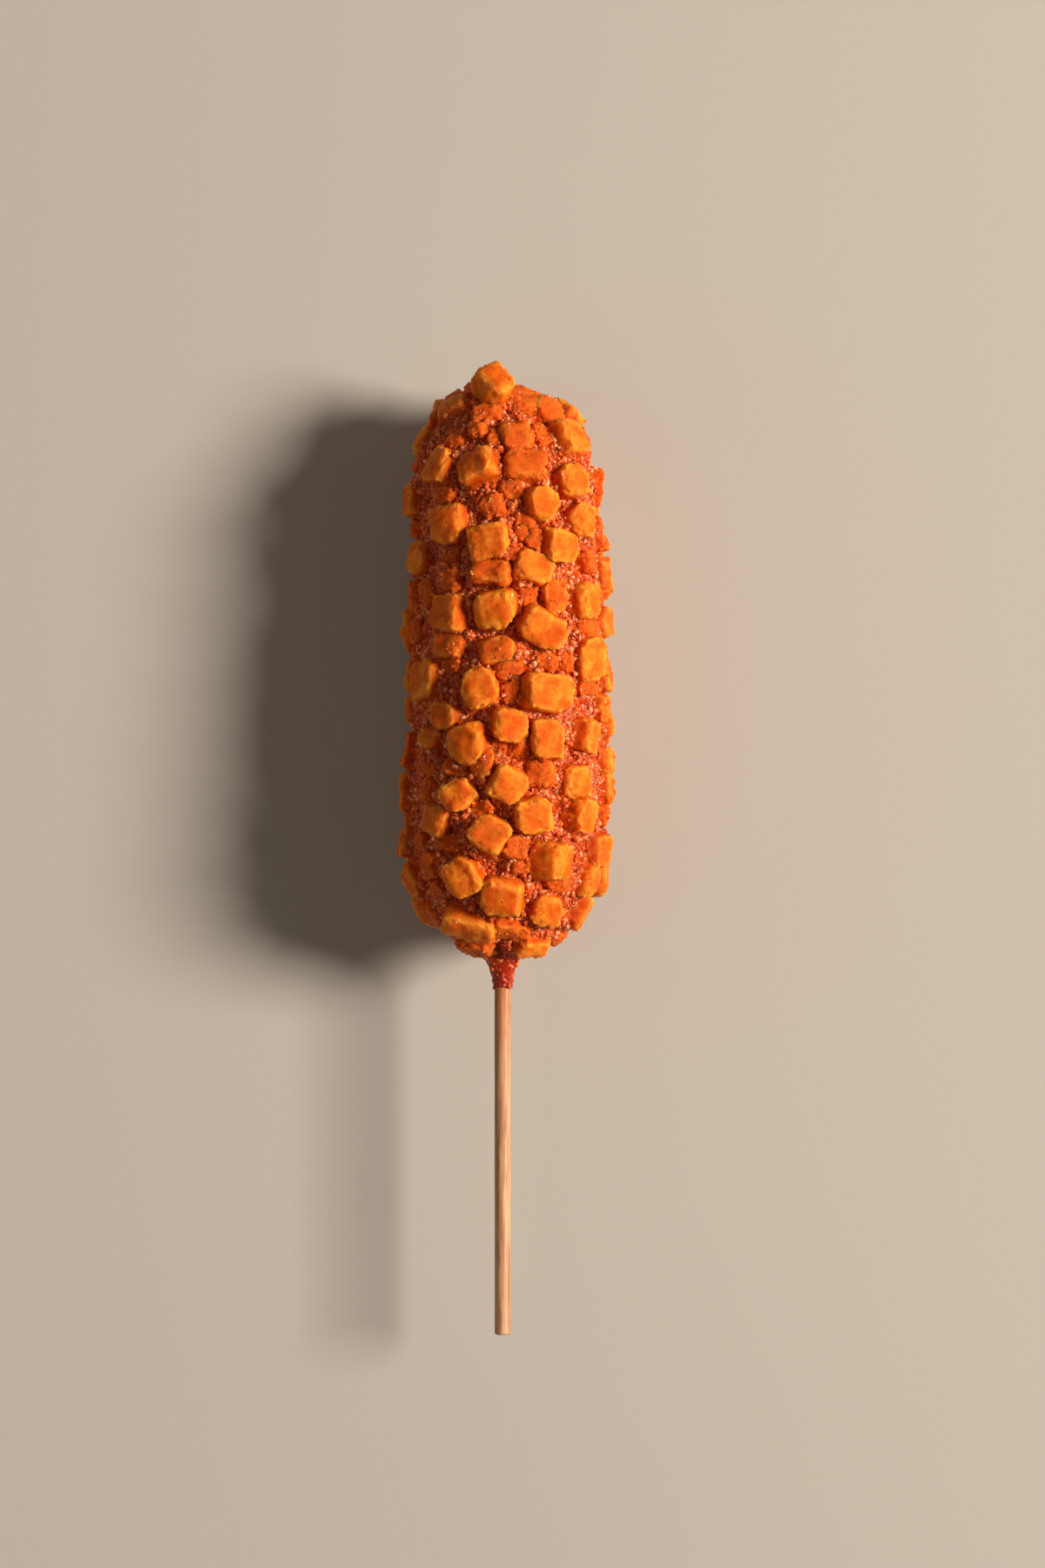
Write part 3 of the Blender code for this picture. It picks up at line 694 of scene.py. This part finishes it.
def surface_spots(obj, count, rng, cover, least):
    """Random points on a piece with their normals, thickest on the side that shows and where
    the attribute named cover is above its least."""
    mesh = obj.data
    mesh.calc_loop_triangles()
    corners = np.empty(len(mesh.loop_triangles) * 3, int)
    mesh.loop_triangles.foreach_get("vertices", corners)
    corners = corners.reshape(-1, 3)
    points = coordinates(mesh)[corners]
    normals = np.cross(points[:, 1] - points[:, 0], points[:, 2] - points[:, 0])
    areas = np.linalg.norm(normals, axis=1)
    normals /= np.maximum(areas, 1e-12)[:, None]
    chance = areas * (0.4 + 0.6 * smooth_step(-0.5, 0.3, normals[:, 2]))
    chance *= points[:, :, 2].mean(axis=1) > -REST_DEPTH + 0.5 * MM
    level = np.empty(len(mesh.vertices), np.float32)
    mesh.attributes[cover].data.foreach_get("value", level)
    chance *= 0.01 + np.maximum(level[corners].mean(axis=1) - least, 0)
    chosen = rng.choice(len(chance), count, p=chance / chance.sum())
    share = rng.random((count, 2))
    share = np.where(share.sum(axis=1)[:, None] > 1, 1 - share, share)
    first, second, third = (points[chosen, corner] for corner in range(3))
    spots = first + (second - first) * share[:, :1] + (third - first) * share[:, 1:]
    return spots, normals[chosen]


def outside_potato(spots, layout, margin):
    """Which spots aren't buried in a piece of potato."""
    free = np.ones(len(spots), bool)
    for potato in layout:
        local = (spots - np.array(potato.centre)) @ np.array(potato.facing)
        inside = (np.abs(local) < np.array(potato.widths) / 2 - margin).all(axis=1)
        free &= ~inside
    return free


def grain_places(spots, normals, sizes, rng, sink, flatness):
    """A matrix for each grain: its size, any turn, and how deep it sits."""
    places = []
    for spot, normal, size in zip(spots, normals, sizes):
        turn = Matrix.Rotation(rng.uniform(0, 2 * math.pi), 4, Vector(rng.normal(size=3)))
        shape = [size / 2 * rng.uniform(1 - flatness, 1 + flatness) for _ in range(3)]
        move = Matrix.Translation(Vector(spot) + Vector(normal) * size * (0.5 - sink))
        places.append(move @ turn @ Matrix.Diagonal((*shape, 1)))
    return places


def crumb_grain(bm, place):
    bmesh.ops.create_icosphere(bm, subdivisions=1, radius=1, matrix=place)


def sugar_grain(bm, place):
    bmesh.ops.create_cube(bm, size=1.5, matrix=place)


def scattered(name, places, grain, tones, corners):
    """Many small grains joined as one piece, in batches, since operators slow in a big mesh."""
    whole = bmesh.new()
    for start in range(0, len(places), BATCH):
        few = bmesh.new()
        for place in places[start : start + BATCH]:
            grain(few, place)
        mesh = bpy.data.meshes.new("batch")
        few.to_mesh(mesh)
        few.free()
        whole.from_mesh(mesh)
        bpy.data.meshes.remove(mesh)
    obj = object_from(whole, name)
    store(obj.data, "tone", np.repeat(tones, corners))
    return obj


def roughen(obj, size, height):
    """Moves a piece's points about a little, so that no two grains are alike."""
    points = coordinates(obj.data)
    for axis in range(3):
        points[:, axis] += height * noise_at(points + 7 * (axis + 1), size)
    move_points(obj.data, above_table(points))


def grain_spots(counts, layout, surfaces, rng):
    """Places for grains: so many on the crust between the potato, so many on the potato."""
    shell, potato_objects = surfaces
    on_crust, on_potato = counts
    spots, normals = surface_spots(shell, on_crust * 3, rng, "grit", 0.0)
    free = outside_potato(spots, layout, 0.2 * MM)
    found = [(spots[free][:on_crust], normals[free][:on_crust])]
    shares = np.array([len(obj.data.vertices) for obj in potato_objects], float)
    for obj, share in zip(potato_objects, shares / shares.sum()):
        found.append(surface_spots(obj, int(on_potato * share), rng, "hold", 0.35))
    return [np.concatenate(part) for part in zip(*found)]


def crumb_coating(name, kind, layout, surfaces, rng):
    """Crumbs of the coating, each its own lump, sunk in what they stick to."""
    *counts, low, high = kind
    spots, normals = grain_spots(counts, layout, surfaces, rng)
    sizes = low + (high - low) * rng.beta(1.6, 3.2, len(spots))
    places = grain_places(spots, normals, sizes, rng, sink=0.5, flatness=0.4)
    obj = scattered(name, places, crumb_grain, rng.random(len(places)), CRUMB_CORNERS)
    roughen(obj, CRUMB_ROUGHNESS, 0.25 * (low + high) / 2)
    obj.data.shade_smooth()
    return obj


def sugar_coating(layout, surfaces, rng):
    """Coarse glassy grains that catch the light, mostly down on the crust."""
    *counts, low, high = SUGAR_GRAINS
    spots, normals = grain_spots(counts, layout, surfaces, rng)
    sizes = low + (high - low) * rng.beta(1.5, 3, len(spots))
    places = grain_places(spots, normals, sizes, rng, sink=0.35, flatness=0.3)
    return scattered("sugar", places, sugar_grain, rng.random(len(places)), SUGAR_CORNERS)


def stick():
    """The birch stick: drawn round and smooth, with open grain and a sawn end."""
    radius = STICK_DIAMETER / 2
    straight = STICK_LENGTH - 2 * STICK_CHAMFER
    profile = [(radius - STICK_CHAMFER, 0)]
    for ring in range(STICK_RINGS + 1):
        profile.append((radius, STICK_CHAMFER + straight * ring / STICK_RINGS))
    profile += [(radius - STICK_CHAMFER, STICK_LENGTH)]
    obj = object_from(lathed(profile, STICK_SIDES), "stick_wood")
    points = coordinates(obj.data)
    outward = points * np.array([1, 0, 1])
    outward /= np.maximum(np.linalg.norm(outward, axis=1), 1e-9)[:, None]
    along_grain = points * np.array([1, 0.03, 1])
    grooves = GROOVE_DEPTH * noise_at(along_grain, 0.5 * MM, 2)
    waver = WAVER_HEIGHT * noise_at(points * np.array([0, 1, 0]), WAVER_LENGTH)
    nick = np.exp(-(((points[:, 1] - NICK_ALONG) / NICK_WIDTH) ** 2)) * np.clip(outward[:, 0], 0, 1)
    relief = grooves + waver - 0.03 * MM - NICK_DEPTH * nick**2
    move_points(obj.data, points + outward * relief[:, None])
    obj.data.shade_smooth()
    obj.data.set_sharp_from_angle(angle=math.radians(35))
    return obj


def linear(hex_colour):
    """An sRGB hex colour as the linear numbers that shaders take."""
    levels = [int(hex_colour[start : start + 2], 16) / 255 for start in (1, 3, 5)]
    return tuple(
        level / 12.92 if level <= 0.04045 else ((level + 0.055) / 1.055) ** 2.4 for level in levels
    ) + (1.0,)


def add_node(tree, kind, inputs=(), **settings):
    """Adds a node with its settings, and sets or links its inputs by name or number."""
    node = tree.nodes.new(kind)
    for name, value in settings.items():
        setattr(node, name, value)
    for name, value in dict(inputs).items():
        if isinstance(value, bpy.types.NodeSocket):
            tree.links.new(value, node.inputs[name])
        else:
            node.inputs[name].default_value = value
    return node


def new_material(name):
    """A material with its shader, and its tree."""
    made = bpy.data.materials.new(name)
    made.use_nodes = True
    return made, made.node_tree, made.node_tree.nodes["Principled BSDF"]


def noise_band(tree, place, size, low, high, detail=3.0):
    """Noise of that feature size, spread from 0 at low to 1 at high."""
    cloud = add_node(
        tree, "ShaderNodeTexNoise", {"Vector": place, "Scale": 1 / size, "Detail": detail}
    )
    band = add_node(
        tree, "ShaderNodeMapRange",
        {"Value": cloud.outputs["Fac"], "From Min": low, "From Max": high},
        interpolation_type="SMOOTHSTEP",
    )
    return band.outputs["Result"]


def mixed(tree, share, first, second):
    """Two colours, or colour sockets, mixed by a share."""
    node = add_node(tree, "ShaderNodeMix", {0: share}, data_type="RGBA")
    for slot, colour in ((6, first), (7, second)):
        if isinstance(colour, str):
            node.inputs[slot].default_value = linear(colour)
        else:
            tree.links.new(colour, node.inputs[slot])
    return node.outputs[2]


def spread(tree, value, low=0.0, high=1.0, start=0.0, end=1.0):
    """A value from low to high, as a number from start to end."""
    ranges = {"From Min": low, "From Max": high, "To Min": start, "To Max": end}
    return add_node(tree, "ShaderNodeMapRange", {"Value": value, **ranges}).outputs["Result"]


def roughen_surface(tree, shader, height, strength, depth, invert=False):
    """Relief too fine for the mesh, as a bump of the shading."""
    settings = {"Strength": strength, "Distance": depth, "Height": height}
    bump = add_node(tree, "ShaderNodeBump", settings, invert=invert)
    tree.links.new(bump.outputs["Normal"], shader.inputs["Normal"])


def times(tree, first, second):
    return add_node(
        tree, "ShaderNodeMath", {0: first, 1: second}, operation="MULTIPLY"
    ).outputs[0]


def attribute(tree, name):
    return add_node(tree, "ShaderNodeAttribute", attribute_name=name).outputs["Fac"]


def coloured_stops(ramp, stops):
    """Sets a colour ramp from (position, colour) pairs, the first at 0 and the last at 1."""
    elements = ramp.color_ramp.elements
    for position, _ in stops[1:-1]:
        elements.new(position)
    for element, (_, colour) in zip(elements, stops):
        element.color = linear(colour)


def fried_potato():
    """Chips fried golden: waxy flesh, mottled where it browned, with red low on its sides
    that is partly chilli oil and partly painted shade, seasoning where it is coated, and paler
    edges, partly crisp and partly a painted highlight."""
    made, tree, shader = new_material("fried potato")
    place = add_node(tree, "ShaderNodeTexCoord").outputs["Object"]
    coat, edge, oil_and_painted_shade, tone = (attribute(tree, name) for name in ("coat", "edge", "oil_and_painted_shade", "tone"))
    mottle = noise_band(tree, place, 4.5 * MM, 0.34, 0.62, 4.0)
    golden = mixed(tree, mottle, "#FA9C26", "#E66C08")
    browned = mixed(tree, times(tree, tone, 0.55), golden, "#DC5A02")
    grain = noise_band(tree, place, 1.1 * MM, 0.4, 0.62, 5.0)
    # Red low on each piece's sides: partly chilli oil, partly painted shade.
    oiled_and_shaded = mixed(tree, oil_and_painted_shade, browned, "#B42800")
    grained = mixed(tree, times(tree, grain, 0.4), oiled_and_shaded, "#D65202")
    specks = noise_band(tree, place, 0.7 * MM, 0.64, 0.74, 2.0)
    speckled = mixed(tree, times(tree, specks, 0.7), grained, "#B03602")
    # Paler edges: partly a crisper fry, partly a painted highlight where edges catch the light.
    crisp_and_highlit_edges = mixed(tree, times(tree, edge, 0.6), speckled, "#FEAE40")
    grit = noise_band(tree, place, 0.9 * MM, 0.25, 0.6, 3.0)
    seasoned = mixed(tree, grit, "#BC3C02", "#E66C16")
    colour = mixed(tree, coat, crisp_and_highlit_edges, seasoned)
    tree.links.new(colour, shader.inputs["Base Color"])
    tree.links.new(spread(tree, grain, start=0.3, end=0.55), shader.inputs["Roughness"])
    shader.inputs["IOR"].default_value = 1.4
    shader.inputs["Specular IOR Level"].default_value = 0.2
    shader.inputs["Subsurface Weight"].default_value = 0.9
    shader.inputs["Subsurface Radius"].default_value = (1.0, 0.36, 0.08)
    shader.inputs["Subsurface Scale"].default_value = 2.4 * MM
    pits = add_node(
        tree, "ShaderNodeTexNoise",
        {"Vector": place, "Scale": 1 / (0.7 * MM), "Detail": 5.0, "Roughness": 0.7},
    )
    roughen_surface(tree, shader, pits.outputs["Fac"], 0.85, 0.5 * MM)
    return made


def seasoned_crust():
    """Fried batter under chilli seasoning: deep red in the hollows and between grains, partly
    its own colour and partly painted shade, orange on its lumps, and glossy where no crumbs stick."""
    made, tree, shader = new_material("seasoned crust")
    place = add_node(tree, "ShaderNodeTexCoord").outputs["Object"]
    grit, height, stain = (attribute(tree, name) for name in ("grit", "height", "stain"))
    mottle = noise_band(tree, place, 1.1 * MM, 0.36, 0.64, 4.0)
    # Darker red for the hollows: partly the batter's own colour, partly painted shade.
    shaded_hollows = mixed(tree, mottle, "#A02000", "#C63E04")
    cells = add_node(tree, "ShaderNodeTexVoronoi", {"Vector": place, "Scale": 1 / (0.85 * MM)})
    crumbs = mixed(tree, cells.outputs["Color"], "#DA5410", "#F89654")
    # Each grain paler at its middle and darker at its edges, and low relief darker than raised:
    # painted shade between grains and in the hollows.
    crumb = spread(tree, cells.outputs["Distance"], 0.25, 0.6, 1.0, 0.1)
    raised = spread(tree, height, start=0.35)
    base = mixed(tree, times(tree, crumb, raised), shaded_hollows, crumbs)
    smooth = mixed(tree, mottle, "#B43202", "#D4540C")
    base = mixed(tree, grit, smooth, base)
    base = mixed(tree, times(tree, stain, 0.9), base, "#A22402")
    tree.links.new(base, shader.inputs["Base Color"])
    tree.links.new(spread(tree, grit, start=0.25, end=0.42), shader.inputs["Roughness"])
    shader.inputs["IOR"].default_value = 1.45
    shader.inputs["Subsurface Weight"].default_value = 0.85
    shader.inputs["Subsurface Radius"].default_value = (1.0, 0.22, 0.06)
    shader.inputs["Subsurface Scale"].default_value = 3.2 * MM
    roughen_surface(tree, shader, cells.outputs["Distance"], 0.6, 0.35 * MM, invert=True)
    return made


def fried_crumb():
    """Fried breadcrumb: each crumb its own colour, from chilli red through orange to the pale
    salmon of those that took up little seasoning."""
    made, tree, shader = new_material("fried crumb")
    place = add_node(tree, "ShaderNodeTexCoord").outputs["Object"]
    tone = attribute(tree, "tone")
    ramp = add_node(tree, "ShaderNodeValToRGB", {"Fac": tone})
    coloured_stops(ramp, ((0.0, "#BE3E04"), (0.35, "#E05E18"), (0.65, "#F08040"), (1.0, "#FAB284")))
    mottle = noise_band(tree, place, 0.8 * MM, 0.45, 0.7, 2.0)
    colour = mixed(tree, times(tree, mottle, 0.5), ramp.outputs["Color"], "#CC4A10")
    tree.links.new(colour, shader.inputs["Base Color"])
    shader.inputs["Roughness"].default_value = 0.42
    shader.inputs["IOR"].default_value = 1.45
    shader.inputs["Subsurface Weight"].default_value = 0.6
    shader.inputs["Subsurface Radius"].default_value = (1.0, 0.55, 0.35)
    shader.inputs["Subsurface Scale"].default_value = 0.5 * MM
    return made


def tinted_sugar():
    """Coarse sugar stained by the seasoning, some grains hardly: glassy, so it glints."""
    made, tree, shader = new_material("tinted sugar")
    ramp = add_node(tree, "ShaderNodeValToRGB", {"Fac": attribute(tree, "tone")})
    coloured_stops(ramp, ((0.0, "#C04608"), (0.5, "#E2641C"), (0.88, "#F08C4E"), (1.0, "#FAC49C")))
    tree.links.new(ramp.outputs["Color"], shader.inputs["Base Color"])
    shader.inputs["Roughness"].default_value = 0.25
    shader.inputs["IOR"].default_value = 1.54
    shader.inputs["Subsurface Weight"].default_value = 0.5
    shader.inputs["Subsurface Radius"].default_value = (1.0, 0.6, 0.4)
    shader.inputs["Subsurface Scale"].default_value = 0.3 * MM
    return made


def birch(collar_end):
    """Birch dowel, unvarnished: fine straight grain, stained by the frying oil at the food."""
    made, tree, shader = new_material("birch wood")
    place = add_node(tree, "ShaderNodeTexCoord").outputs["Object"]
    drawn = add_node(
        tree, "ShaderNodeMapping", {"Vector": place, "Scale": (1.0, 0.035, 1.0)}
    ).outputs["Vector"]
    grain = noise_band(tree, drawn, 0.9 * MM, 0.35, 0.7, 5.0)
    wood = mixed(tree, grain, "#D6A680", "#A8734C")
    fibres = noise_band(tree, drawn, 0.35 * MM, 0.52, 0.68, 2.0)
    wood = mixed(tree, times(tree, fibres, 0.65), wood, "#7E4E2C")
    along = add_node(tree, "ShaderNodeSeparateXYZ", {"Vector": place}).outputs["Y"]
    soaked = add_node(
        tree, "ShaderNodeMapRange",
        {"Value": along, "From Min": collar_end - 26 * MM, "From Max": collar_end + 2 * MM},
        interpolation_type="SMOOTHSTEP",
    ).outputs["Result"]
    streaks = noise_band(tree, drawn, 1.2 * MM, 0.3, 0.6, 2.0)
    wood = mixed(tree, times(tree, soaked, streaks), wood, "#B06024")
    tree.links.new(wood, shader.inputs["Base Color"])
    shader.inputs["Roughness"].default_value = 0.55
    shader.inputs["IOR"].default_value = 1.5
    pores = add_node(
        tree, "ShaderNodeTexNoise", {"Vector": drawn, "Scale": 1 / (0.35 * MM), "Detail": 4.0}
    )
    roughen_surface(tree, shader, pores.outputs["Fac"], 0.5, 0.15 * MM)
    return made


def pale_card():
    made, _, shader = new_material("pale card")
    shader.inputs["Base Color"].default_value = linear("#B8B6B2")
    shader.inputs["Roughness"].default_value = 0.8
    return made


def floor():
    bm = bmesh.new()
    bmesh.ops.create_grid(bm, x_segments=1, y_segments=1, size=3.0)
    obj = object_from(bm, "floor")
    obj.data.materials.append(pale_card())


def area_light(name, place, target, size, power, colour):
    light = bpy.data.lights.new(name, "AREA")
    light.shape = "DISK"
    light.size = size
    light.energy = power
    light.color = linear(colour)[:3]
    obj = bpy.data.objects.new(name, light)
    obj.location = place
    obj.rotation_euler = (Vector(target) - Vector(place)).to_track_quat("-Z", "Y").to_euler()
    bpy.context.scene.collection.objects.link(obj)


def studio(middle):
    """Soft light: a large lamp high on the right and a little towards the tip, a weak one on
    the left, and pale air."""
    area_light("key", middle + Vector((2.35, 0.3, 1.72)), middle, 1.0, 151, "#FFEEDA")
    area_light("fill", middle + Vector((-0.6, -0.1, 0.7)), middle, 0.9, 1.1, "#FFE8D0")
    world = bpy.data.worlds.new("studio")
    world.use_nodes = True
    world.node_tree.nodes["Background"].inputs["Color"].default_value = linear("#F8EEE2")
    world.node_tree.nodes["Background"].inputs["Strength"].default_value = 0.08
    bpy.context.scene.world = world
    bpy.context.scene.view_settings.view_transform = "Standard"


def camera(handle_end):
    """Looks straight down, framed as the photograph: 4.4 pixels to the millimetre."""
    distance, frame_height, pixels_per_metre = 1.2, 1800, 4400
    lens = bpy.data.cameras.new("camera")
    lens.sensor_fit = "VERTICAL"
    lens.sensor_height = 36
    lens.lens = lens.sensor_height * distance / (frame_height / pixels_per_metre)
    lens.clip_start = 0.05
    obj = bpy.data.objects.new("camera", lens)
    obj.location = handle_end + Vector((5.2 * MM, 143.6 * MM, distance))
    bpy.context.scene.collection.objects.link(obj)
    bpy.context.scene.camera = obj


def main():
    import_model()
    low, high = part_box("stick")
    handle_end = Vector(((low.x + high.x) / 2, low.y, (low.z + high.z) / 2))

    layout = potato_layout()
    wear_rng = random.Random(WEAR_SEED)
    grain_rng = np.random.default_rng(GRAIN_SEED)
    shown = layout[: len(SHOWN_POTATO)]
    unseen = layout[len(SHOWN_POTATO) :]
    buried = [shown_potato(wear_rng, *row) for row in BURIED_SCRAPS]

    shell = crust(layout)
    whole = [potato for potato in shown if potato.rise > LEAST_WHOLE_RISE]
    broken = [potato for potato in shown if potato.rise <= LEAST_WHOLE_RISE] + buried
    cubes = potato_pieces(whole, "potato_cubes", 16, wear_rng)
    bits = potato_pieces(broken, "potato_bits", 11, wear_rng)
    far_cubes = potato_pieces(unseen[:UNSEEN_CUBES], "potato_cubes_far", 11, wear_rng)
    far_bits = potato_pieces(unseen[UNSEEN_CUBES:], "potato_bits_far", 8, wear_rng)
    chips = (cubes, bits, far_cubes, far_bits)
    surfaces = (shell, chips)
    clotted = crumb_coating("crumbs_clotted", CLOTTED_CRUMBS, layout, surfaces, grain_rng)
    on_crust = crumb_coating("crumbs_on_crust", CRUST_CRUMBS, layout, surfaces, grain_rng)
    fine = crumb_coating("crumbs_fine", FINE_CRUMBS, layout, surfaces, grain_rng)
    on_potato = crumb_coating("crumbs_on_potato", POTATO_CRUMBS, layout, surfaces, grain_rng)
    grains = sugar_coating(layout, surfaces, grain_rng)
    rod = stick()

    potato, crumb = fried_potato(), fried_crumb()
    finishes = [(shell, seasoned_crust()), (grains, tinted_sugar())]
    finishes += [(piece, potato) for piece in chips]
    finishes += [(piece, crumb) for piece in (clotted, on_crust, fine, on_potato)]
    finishes += [(rod, birch(handle_end.y + HANDLE_LENGTH))]
    for piece, finish in finishes:
        piece.data.materials.append(finish)
        piece.data.transform(Matrix.Translation(handle_end))
        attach(piece, "root")
    for piece in (shell, *chips):
        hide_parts("coated_food")
    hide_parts("stick")

    floor()
    studio(handle_end + Vector((0, HANDLE_LENGTH + CRUST_LENGTH / 2, 0)))
    camera(handle_end)


main()
